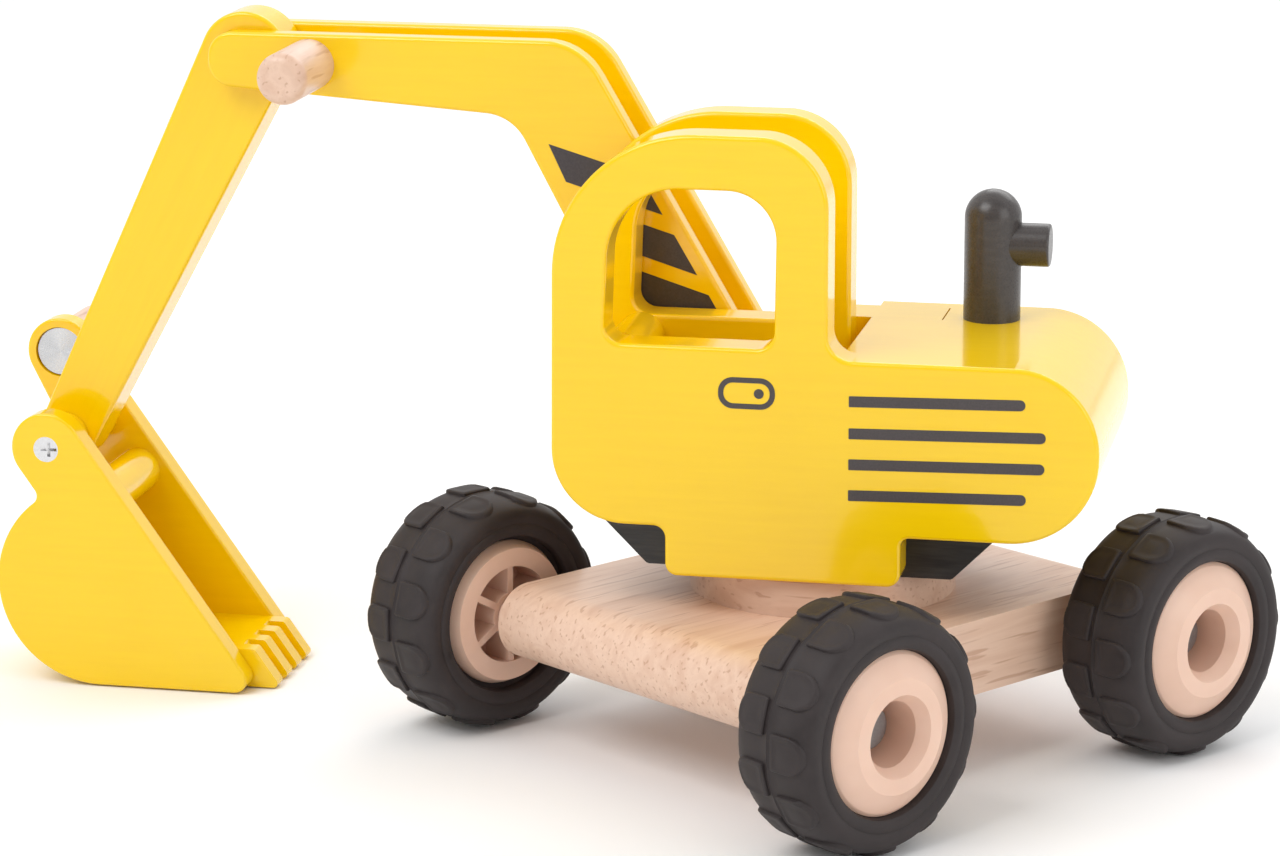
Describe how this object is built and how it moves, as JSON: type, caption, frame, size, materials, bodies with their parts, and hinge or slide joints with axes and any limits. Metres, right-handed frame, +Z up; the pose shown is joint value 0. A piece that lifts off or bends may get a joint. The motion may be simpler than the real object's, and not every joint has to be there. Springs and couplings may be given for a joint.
{
  "type": "toy excavator",
  "caption": "Wooden toy excavator: wheeled board chassis, slewing cab and engine body, and a hand-moved boom, stick and toothed bucket.",
  "frame": {"origin": "centre of the object's bounding box in plan, on the floor that the wheels stand on", "axes": "+X from the bucket end towards the engine end, along the body at rest; +Y away from the cab's open near side; +Z up"},
  "size_m": [0.3902, 0.2646, 0.206],
  "materials": {
    "yellow_lacquer": "gloss lacquer",
    "natural_beech": "clear satin",
    "black_stain": "satin",
    "dark_grey_paint": "satin",
    "hub_plastic": "satin moulded",
    "tyre_rubber": "matte",
    "zinc_steel": "bright zinc"
  },
  "bodies": {
    "chassis": {"chassis_board": "natural_beech", "turntable_disc": "natural_beech", "slew_bolt": "zinc_steel", "slew_nut": "zinc_steel", "front_axle": "zinc_steel", "rear_axle": "zinc_steel", "axle_caps": "zinc_steel", "axle_spacers": "hub_plastic"},
    "body": {"near_cab_plate": "yellow_lacquer", "far_cab_plate": "yellow_lacquer", "engine_block": "yellow_lacquer", "boom_tongue": "yellow_lacquer", "base_block": "black_stain", "exhaust_stack": "dark_grey_paint", "exhaust_stub": "dark_grey_paint", "cab_cross_dowel": "yellow_lacquer"},
    "boom": {"boom_near_plate": "yellow_lacquer", "boom_far_plate": "yellow_lacquer", "boom_pivot_pin": "zinc_steel", "stick_pivot_pin": "zinc_steel", "boom_spacer": "yellow_lacquer", "boom_handle": "natural_beech"},
    "stick": {"stick_plank": "yellow_lacquer"},
    "bucket": {"bucket_near_side": "yellow_lacquer", "bucket_far_side": "yellow_lacquer", "bucket_back": "yellow_lacquer", "bucket_floor": "yellow_lacquer", "bucket_cross_dowel": "yellow_lacquer", "bucket_pivot_barrel": "zinc_steel", "bucket_pivot_spacers": "yellow_lacquer", "near_pivot_screw": "zinc_steel", "far_pivot_screw": "zinc_steel", "lever_disc": "zinc_steel", "bucket_handle": "natural_beech"},
    "front_left_wheel": {"front_left_hub": "hub_plastic", "front_left_tyre": "tyre_rubber"},
    "front_right_wheel": {"front_right_hub": "hub_plastic", "front_right_tyre": "tyre_rubber"},
    "rear_left_wheel": {"rear_left_hub": "hub_plastic", "rear_left_tyre": "tyre_rubber"},
    "rear_right_wheel": {"rear_right_hub": "hub_plastic", "rear_right_tyre": "tyre_rubber"}
  },
  "joints": [
    {"name": "slew", "type": "hinge", "parent": "chassis", "child": "body", "pos_m": [0.06393, 0, 0.057], "axis": [0, 0, 1], "continuous": true},
    {"name": "boom_lift", "type": "hinge", "parent": "body", "child": "boom", "pos_m": [0.03293, 0.026, 0.1], "axis": [0, 1, 0], "range_deg": [-12, 45]},
    {"name": "stick_swing", "type": "hinge", "parent": "boom", "child": "stick", "pos_m": [-0.11407, 0.026, 0.1925], "axis": [0, 1, 0], "range_deg": [-6, 60]},
    {"name": "bucket_curl", "type": "hinge", "parent": "stick", "child": "bucket", "pos_m": [-0.17407, 0.026, 0.074], "axis": [0, 1, 0], "range_deg": [-40, 70]},
    {"name": "front_left_spin", "type": "hinge", "parent": "chassis", "child": "front_left_wheel", "pos_m": [-0.03718, -0.00628, 0.035], "axis": [0.8121, -0.5835, 0], "continuous": true},
    {"name": "front_right_spin", "type": "hinge", "parent": "chassis", "child": "front_right_wheel", "pos_m": [0.09023, -0.09783, 0.035], "axis": [0.8121, -0.5835, 0], "continuous": true},
    {"name": "rear_left_spin", "type": "hinge", "parent": "chassis", "child": "rear_left_wheel", "pos_m": [0.03763, 0.09783, 0.035], "axis": [0.8121, -0.5835, 0], "continuous": true},
    {"name": "rear_right_spin", "type": "hinge", "parent": "chassis", "child": "rear_right_wheel", "pos_m": [0.16504, 0.00628, 0.035], "axis": [0.8121, -0.5835, 0], "continuous": true}
  ]
}
